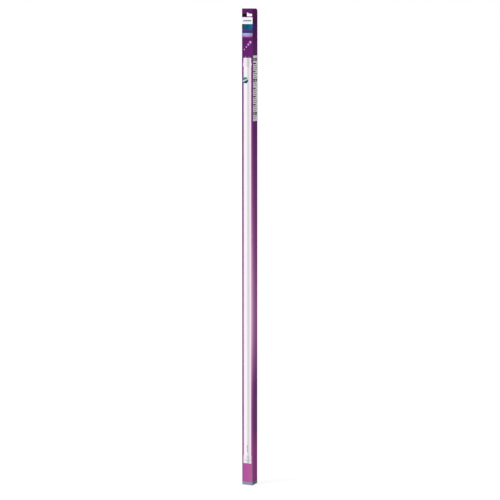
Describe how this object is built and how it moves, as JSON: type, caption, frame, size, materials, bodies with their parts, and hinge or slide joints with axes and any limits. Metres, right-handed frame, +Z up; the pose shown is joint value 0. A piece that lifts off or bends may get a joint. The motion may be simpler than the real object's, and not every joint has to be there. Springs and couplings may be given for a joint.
{
  "type": "boxed led tube",
  "caption": "Slim square retail carton, folded from printed card and sealed around one straight tube lamp, with a hang hole in its hollow header.",
  "frame": {"origin": "crest of the hang hole, midway between the front and the back, where a display peg carries the carton", "axes": "+Z up along the carton, +Y from its front to its back, +X to the right seen from the front"},
  "size_m": [0.0306, 0.0306, 1.26],
  "materials": {
    "printed_card": "coated card with a satin varnish, printed in a purple that pales and reddens towards the foot"
  },
  "bodies": {
    "root": {"carton": "printed_card"}
  },
  "joints": []
}
